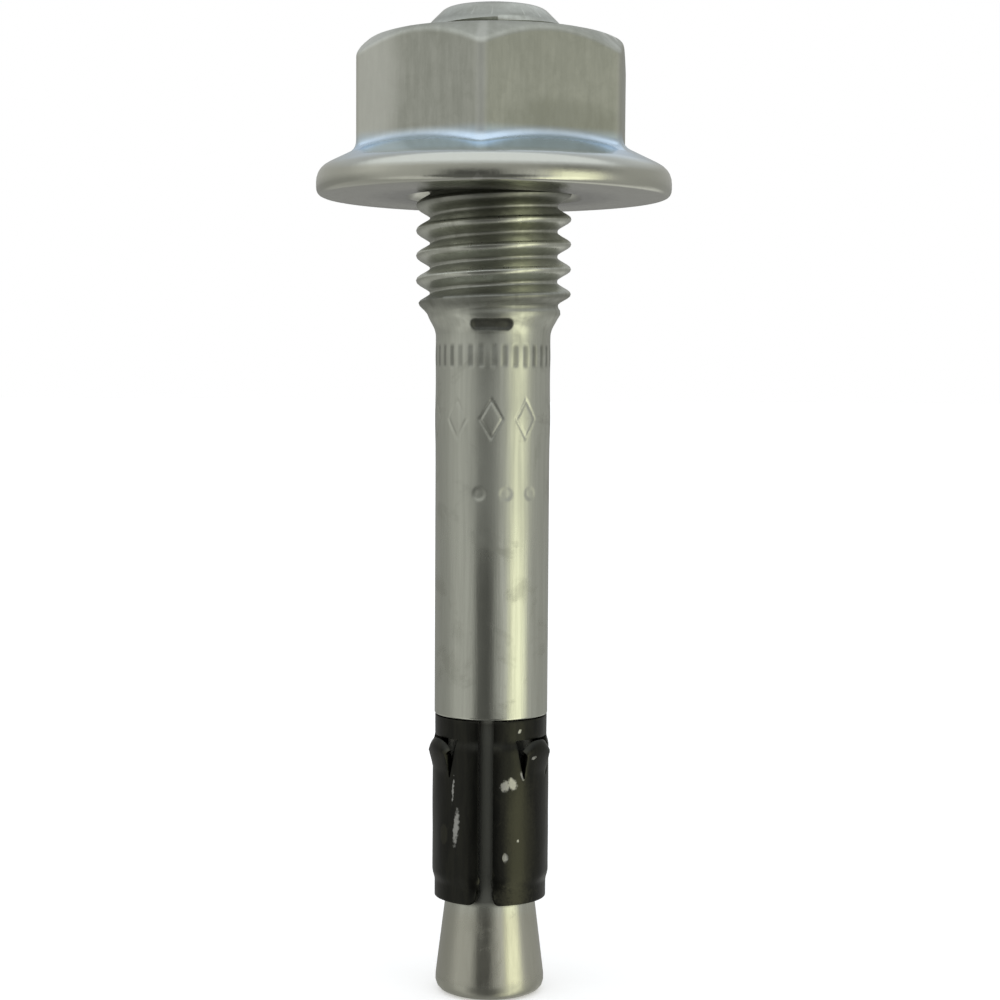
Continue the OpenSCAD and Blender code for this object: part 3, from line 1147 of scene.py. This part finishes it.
# Depth of the black finish's grain, and how strongly it shows
BLACK_GRAIN = 0.012 * MM
BLACK_BUMP = 0.5


def clip_metal(c, s):
    """Black spring steel, thin on its edges, with bare scratches, a painted highlight on a barb's
    corner and a painted olive reflection up the right leaf.
    """
    material, board = new_material("clip_blackened")
    streaks = place_group(board, drawn_streaks, Fineness=3.0, Stretch=7.0)
    stains = place_group(board, handling_stains, Fineness=1.1, Cover=0.4)
    grain = place_group(board, surface_grain, Fineness=8.0)
    # Bare scratches with a painted highlight, and worn black with a painted reflection
    bare = patches(board, CLIP_SCRATCHES_AND_HIGHLIGHT, s.middle)
    worn_and_reflection = patches(board, CLIP_WORN_AND_REFLECTION, s.middle)
    edges = board.span(board.node("NewGeometry").outputs["Pointiness"], *CLIP_POINTED)

    coats = (
        (stains, 0.15, c.clip_worn_and_reflection),
        (worn_and_reflection, 0.22, c.clip_worn_and_reflection),
        (streaks, 0.12, c.clip_worn_and_reflection),
        (edges, 0.25, c.clip_worn_and_reflection),
        (bare, 1.0, c.bare),
    )
    base = board.layers(c.clip, coats)
    roughness = board.total(0.32, ((stains, 0.12), (streaks, 0.06)))
    height = board.total(grain, ((bare, -1.5),))
    finish_metal(board, base, roughness, height, BLACK_GRAIN, BLACK_BUMP)
    return material


# Stage

# Soft light around the anchor: angle from the camera to the right, in degrees, and brightness
RING_FLOOR = (
    (-180, 0.26), (-163, 0.48), (-90, 0.42), (-72, 0.72), (-52, 0.70), (-42, 0.14), (20, 0.12),
    (36, 0.70), (50, 1.80), (66, 1.80), (80, 0.50), (120, 0.42), (160, 0.80), (180, 0.26),
)
RING_LOW = (
    (-180, 0.29), (-100, 0.36), (-76, 0.54), (-46, 0.52), (-37, 0.42), (-27, 0.11), (-1, 0.09),
    (14, 0.46), (30, 0.72), (38, 0.92), (46, 1.50), (64, 1.44), (80, 0.58), (92, 0.46), (150, 0.38),
    (180, 0.29),
)
RING_HIGH = (
    (-180, 0.48), (-110, 0.52), (-84, 0.72), (-58, 0.56), (-15, 0.45), (25, 0.42), (42, 0.28),
    (65, 0.28), (95, 0.46), (180, 0.48),
)
RING_TOP = (
    (-180, 0.44), (-160, 0.66), (-112, 0.62), (-96, 1.12), (84, 1.12), (100, 0.66), (158, 0.85),
    (180, 0.44),
)
# Tints of the light, and the brightness above which a ring takes its bright tint
WARM = (1.0, 1.0, 0.77)
PLAIN = (1.0, 1.0, 0.96)
COOL = (0.96, 1.0, 1.06)
BRIGHT_ABOVE = 0.8
# Rings above the lowest one: light, tint, bright tint, and the heights between which a ring
# takes over, from -1 straight down to 1 straight up
RINGS_ABOVE = (
    (RING_LOW, PLAIN, WARM, (-0.4, -0.25)),
    (RING_HIGH, PLAIN, PLAIN, (0.02, 0.16)),
    (RING_TOP, COOL, COOL, (0.25, 0.6)),
)
# Even light from straight below
BENEATH = 0.36
BENEATH_FROM = (-0.88, -0.97)
# The ramps hold the brightness divided by this, and the light's strength makes up for it
RAMP_SCALE = 2.0
FLOOR_REACH = 6.0
FLOOR_ROUGHNESS = 0.9
SENSOR_WIDTH = 36.0
CAMERA_NEAR = 1 * MM
CAMERA_FAR = 50.0


def light_ramp(board, factor, stops, tint, bright_tint):
    """Colour around the anchor from a list of angles and brightnesses."""
    made = board.node("ValToRGB", {0: factor})
    points = made.color_ramp.elements
    while len(points) < len(stops):
        points.new(0.5)
    for point, (turn, light) in zip(points, stops):
        point.position = (turn + 180) / 360
        hue = bright_tint if light > BRIGHT_ABOVE else tint
        point.color = (*(light / RAMP_SCALE * channel for channel in hue), 1)
    return made.outputs[0]


def light_world(st):
    """Soft studio light from all round, in rings one above the other, and a white background."""
    world = bpy.data.worlds.new("studio")
    bpy.context.scene.world = world
    world.use_nodes = True
    board = Board(world.node_tree)
    way = board.node("TexCoord").outputs["Generated"]
    way = board.node(
        "VectorRotate", {"Vector": way, "Angle": -st.azimuth}, rotation_type="Z_AXIS"
    ).outputs[0]
    x, y, z = board.node("SeparateXYZ", {0: way}).outputs
    factor = board.math("MULTIPLY_ADD", board.turn(x, y), 1 / TURN, 0.5)
    ring = light_ramp(board, factor, RING_FLOOR, PLAIN, WARM)
    for stops, tint, bright_tint, heights in RINGS_ABOVE:
        above = light_ramp(board, factor, stops, tint, bright_tint)
        ring = board.blend(board.span(z, *heights), ring, above)
    under = (BENEATH / RAMP_SCALE,) * 3
    ring = board.blend(board.span(z, *BENEATH_FROM), ring, solid(under))
    light = board.node(
        "Background", {"Color": ring, "Strength": RAMP_SCALE * st.strength}
    ).outputs[0]
    white = board.node("Background", {"Color": (1, 1, 1, 1), "Strength": 1.0}).outputs[0]
    seen = board.node("LightPath").outputs["Is Camera Ray"]
    both = board.node("MixShader", {0: seen, 1: light, 2: white}).outputs[0]
    board.node("OutputWorld", {"Surface": both})


def lay_floor(st):
    """Plain pale floor under the tip."""
    mesh = bpy.data.meshes.new("floor")
    low, high = -FLOOR_REACH, FLOOR_REACH
    corners = [(low, low, 0), (high, low, 0), (high, high, 0), (low, high, 0)]
    mesh.from_pydata(corners, [], [(0, 1, 2, 3)])
    item = bpy.data.objects.new("floor", mesh)
    bpy.context.scene.collection.objects.link(item)
    material, board = new_material("floor_pale")
    pale = solid(st.floor)
    sockets = {
        "Base Color": pale, "Roughness": FLOOR_ROUGHNESS, "Emission Color": pale,
        "Emission Strength": st.floor_glow,
    }
    shader = board.node("BsdfPrincipled", sockets)
    board.node("OutputMaterial", {"Surface": shader.outputs[0]})
    mesh.materials.append(material)
    # The metal mirrors the rings of light in place of the floor
    item.visible_glossy = False


def set_camera(st):
    """Camera at the photograph's viewing angle."""
    lens = bpy.data.cameras.new("camera")
    lens.lens = st.lens
    lens.sensor_width = SENSOR_WIDTH
    lens.shift_y = st.shift
    lens.clip_start = CAMERA_NEAR
    lens.clip_end = CAMERA_FAR
    item = bpy.data.objects.new("camera", lens)
    bpy.context.scene.collection.objects.link(item)
    flat = math.cos(st.elevation)
    back = Vector(
        (math.sin(st.azimuth) * flat, -math.cos(st.azimuth) * flat, math.sin(st.elevation))
    )
    right = Vector((math.cos(st.azimuth), math.sin(st.azimuth), 0))
    item.location = Vector((0, 0, st.aim)) + right * st.aside + back * st.distance
    item.rotation_mode = "QUATERNION"
    roll = Quaternion((0, 0, 1), st.roll)
    item.rotation_quaternion = (-back).to_track_quat("-Z", "Y") @ roll
    bpy.context.scene.camera = item


# Operators and panel

def fit(item, material, node, body):
    """Gives a finished piece its metal and its place on the anchor."""
    closed_or_error(item)
    item.data.materials.clear()
    item.data.materials.append(material)
    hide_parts(node)
    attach(item, body)


class ANCHOR_OT_bolt(bpy.types.Operator):
    """Builds the plated bolt with its thread, stamps, neck and cone"""

    bl_idname = "anchor.bolt"
    bl_label = "Bolt"

    def execute(self, context):
        scene = context.scene
        item = build_bolt(scene.anchor_bolt)
        metal = bolt_metal(scene.anchor_finishes, scene.anchor_bolt)
        fit(item, metal, "anchor_bolt", "bolt")
        return {"FINISHED"}


class ANCHOR_OT_clip(bpy.types.Operator):
    """Builds the dark expansion clip with its slit, windows and barbs"""

    bl_idname = "anchor.clip"
    bl_label = "Expansion clip"

    def execute(self, context):
        scene = context.scene
        item = build_clip(scene.anchor_clip, scene.anchor_bolt)
        metal = clip_metal(scene.anchor_finishes, scene.anchor_clip)
        fit(item, metal, "expansion_clip", "clip")
        return {"FINISHED"}


class ANCHOR_OT_nut(bpy.types.Operator):
    """Builds the flange nut with its hexagon, flange and inner thread"""

    bl_idname = "anchor.nut"
    bl_label = "Flange nut"

    def execute(self, context):
        scene = context.scene
        item = build_nut(scene.anchor_nut, scene.anchor_bolt)
        metal = nut_metal(scene.anchor_finishes, scene.anchor_nut)
        fit(item, metal, "flange_nut", "nut")
        return {"FINISHED"}


class ANCHOR_OT_stage(bpy.types.Operator):
    """Sets up the floor, the soft light and the camera"""

    bl_idname = "anchor.stage"
    bl_label = "Stage"

    def execute(self, context):
        studio = context.scene.anchor_studio
        lay_floor(studio)
        light_world(studio)
        set_camera(studio)
        context.scene.view_settings.view_transform = "Standard"
        return {"FINISHED"}


class ANCHOR_PT_parts(bpy.types.Panel):
    """Lists the pieces of the nail anchor"""

    bl_idname = "ANCHOR_PT_parts"
    bl_label = "Nail anchor"
    bl_space_type = "VIEW_3D"
    bl_region_type = "UI"
    bl_category = "Nail anchor"

    def draw(self, context):
        """Lists each operator above the values that it uses, and the colours."""
        for name, group in GROUPS.items():
            box = self.layout.box()
            if name in OPERATORS:
                box.operator(OPERATORS[name].bl_idname)
            values = getattr(context.scene, name)
            for key in group.__annotations__:
                box.prop(values, key)


GROUPS = {
    "anchor_bolt": BoltSizes,
    "anchor_clip": ClipSizes,
    "anchor_nut": NutSizes,
    "anchor_finishes": Finishes,
    "anchor_studio": Studio,
}
OPERATORS = {
    "anchor_bolt": ANCHOR_OT_bolt,
    "anchor_clip": ANCHOR_OT_clip,
    "anchor_nut": ANCHOR_OT_nut,
    "anchor_studio": ANCHOR_OT_stage,
}
CLASSES = (*GROUPS.values(), *OPERATORS.values(), ANCHOR_PT_parts)


def register():
    """Adds the classes, and the values to the scene."""
    for item in CLASSES:
        bpy.utils.register_class(item)
    for name, group in GROUPS.items():
        setattr(bpy.types.Scene, name, bpy.props.PointerProperty(type=group))


def unregister():
    """Takes the values and the classes away again."""
    for name in GROUPS:
        delattr(bpy.types.Scene, name)
    for item in reversed(CLASSES):
        bpy.utils.unregister_class(item)


def main():
    """Builds every piece in order."""
    register()
    bpy.ops.anchor.bolt()
    bpy.ops.anchor.clip()
    bpy.ops.anchor.nut()
    bpy.ops.anchor.stage()


if __name__ == "__main__":
    main()
